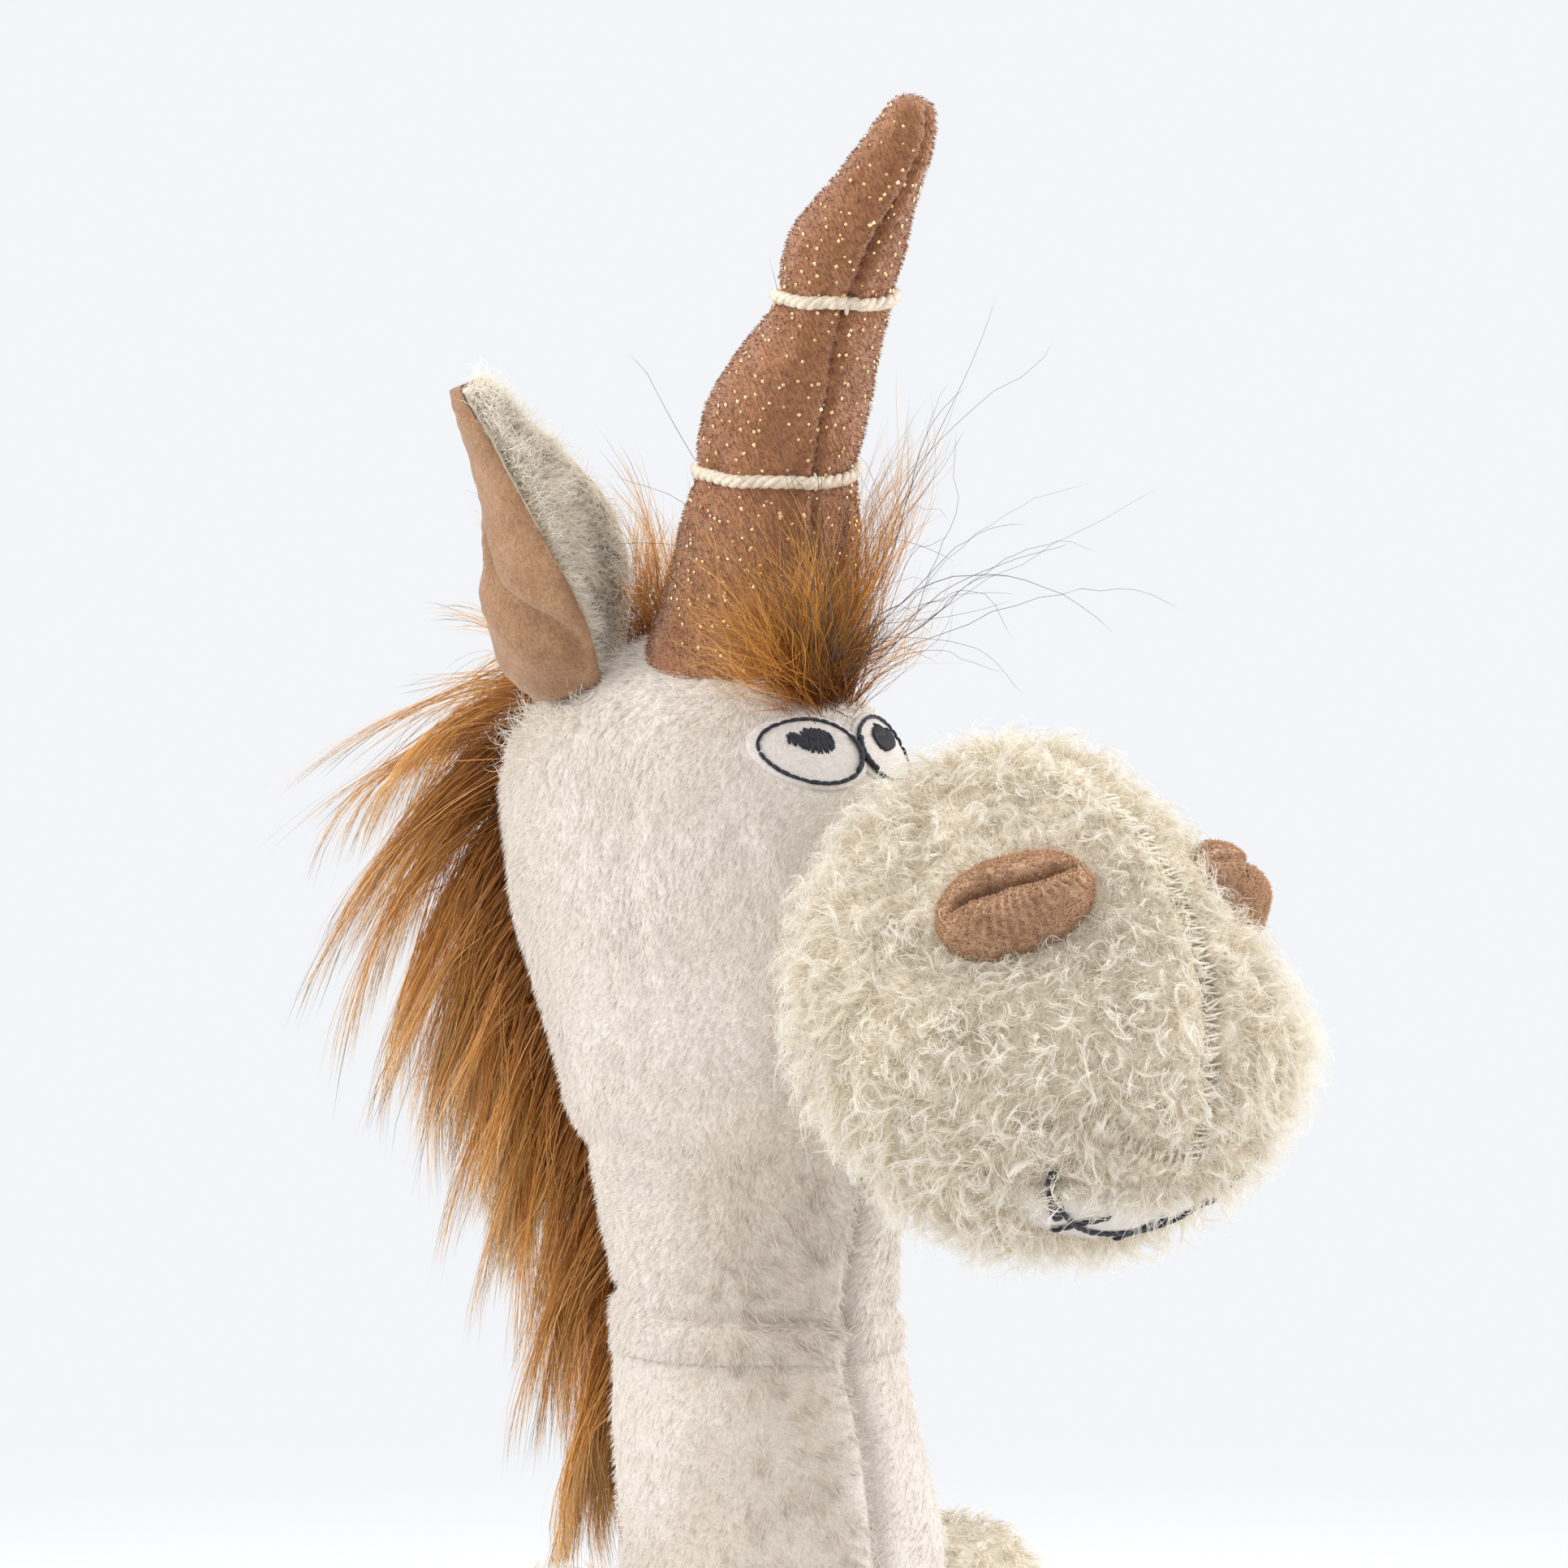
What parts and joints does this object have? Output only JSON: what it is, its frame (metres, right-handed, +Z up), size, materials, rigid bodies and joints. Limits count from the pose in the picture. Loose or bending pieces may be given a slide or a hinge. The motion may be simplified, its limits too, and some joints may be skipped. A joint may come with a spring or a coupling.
{
  "type": "plush unicorn",
  "caption": "Seated plush unicorn with a wound horn, round curly muzzle, faux-fur mane, swinging limbs and a nodding head on a long neck.",
  "frame": {"origin": "centre of the flat seat panel that it sits on", "axes": "+Z up; the unicorn faces -Y; its left side is +X"},
  "size_m": [0.2488, 0.2686, 0.4332],
  "materials": {
    "cream_plush": "short brushed pile, cream white",
    "curly_plush": "long curly mohair-like pile, yellowish cream",
    "tan_velour": "ribbed cotton velour, tan",
    "horn_velour": "knitted velour with fine gold glitter dots, copper brown",
    "horn_cord": "twisted cotton cord, cream",
    "faux_fur": "long straight faux fur, golden brown with dark tips",
    "felt": "smooth white felt",
    "thread": "satin embroidery thread, black",
    "fibre_fill": "polyester fibre, white",
    "pellet_cotton": "plain woven cotton",
    "label_ribbon": "plain woven satin ribbon, blank"
  },
  "bodies": {
    "torso": {"torso_skin": "cream_plush", "torso_stuffing": "fibre_fill", "seat_panel": "cream_plush", "pellet_bag": "pellet_cotton", "care_label": "label_ribbon"},
    "neck": {"neck_skin": "cream_plush", "neck_stuffing": "fibre_fill", "neck_mane": "faux_fur"},
    "head": {"head_skin": "cream_plush", "head_stuffing": "fibre_fill", "head_mane": "faux_fur", "poll_tuft": "faux_fur", "forelock": "faux_fur", "muzzle_skin": "curly_plush", "muzzle_stuffing": "fibre_fill", "mouth_patch": "felt", "mouth_stitching": "thread", "left_nostril": "tan_velour", "right_nostril": "tan_velour", "left_eye_patch": "felt", "right_eye_patch": "felt", "left_eye_outline": "thread", "right_eye_outline": "thread", "left_pupil": "thread", "right_pupil": "thread", "horn_skin": "horn_velour", "horn_stuffing": "fibre_fill", "lower_horn_cord": "horn_cord", "upper_horn_cord": "horn_cord"},
    "left_ear": {"left_ear_back": "tan_velour", "left_ear_lining": "curly_plush"},
    "right_ear": {"right_ear_back": "tan_velour", "right_ear_lining": "curly_plush"},
    "left_arm": {"left_arm_skin": "curly_plush", "left_arm_stuffing": "fibre_fill", "left_arm_hoof": "tan_velour"},
    "right_arm": {"right_arm_skin": "curly_plush", "right_arm_stuffing": "fibre_fill", "right_arm_hoof": "tan_velour"},
    "left_leg": {"left_leg_skin": "curly_plush", "left_leg_stuffing": "fibre_fill", "left_leg_hoof": "tan_velour"},
    "right_leg": {"right_leg_skin": "curly_plush", "right_leg_stuffing": "fibre_fill", "right_leg_hoof": "tan_velour"},
    "tail": {"tail": "faux_fur"}
  },
  "joints": [
    {"name": "neck_lean", "type": "hinge", "parent": "torso", "child": "neck", "pos_m": [0, -0.004, 0.15], "axis": [1, 0, 0], "range_deg": [-15, 20], "stiffness_Nm_per_rad": 3},
    {"name": "head_nod", "type": "hinge", "parent": "neck", "child": "head", "pos_m": [0, 0, 0.225], "axis": [1, 0, 0], "range_deg": [-15, 20], "stiffness_Nm_per_rad": 2},
    {"name": "left_ear_bend", "type": "hinge", "parent": "head", "child": "left_ear", "pos_m": [0.02, 0.0285, 0.325], "axis": [0.7582, -0.5714, -0.3142], "range_deg": [-25, 25], "stiffness_Nm_per_rad": 0.03},
    {"name": "right_ear_bend", "type": "hinge", "parent": "head", "child": "right_ear", "pos_m": [-0.02, 0.0285, 0.325], "axis": [0.7582, 0.5714, 0.3142], "range_deg": [-25, 25], "stiffness_Nm_per_rad": 0.03},
    {"name": "left_arm_swing", "type": "hinge", "parent": "torso", "child": "left_arm", "pos_m": [0.053, 0, 0.14], "axis": [1, 0, 0], "range_deg": [-110, 35]},
    {"name": "right_arm_swing", "type": "hinge", "parent": "torso", "child": "right_arm", "pos_m": [-0.053, 0, 0.14], "axis": [1, 0, 0], "range_deg": [-110, 35]},
    {"name": "left_leg_swing", "type": "hinge", "parent": "torso", "child": "left_leg", "pos_m": [0.037, -0.059, 0.02], "axis": [1, 0, 0], "range_deg": [-60, 45]},
    {"name": "right_leg_swing", "type": "hinge", "parent": "torso", "child": "right_leg", "pos_m": [-0.037, -0.059, 0.02], "axis": [1, 0, 0], "range_deg": [-60, 45]},
    {"name": "tail_swing", "type": "hinge", "parent": "torso", "child": "tail", "pos_m": [0, 0.06, 0.062], "axis": [1, 0, 0], "range_deg": [0, 70]}
  ]
}
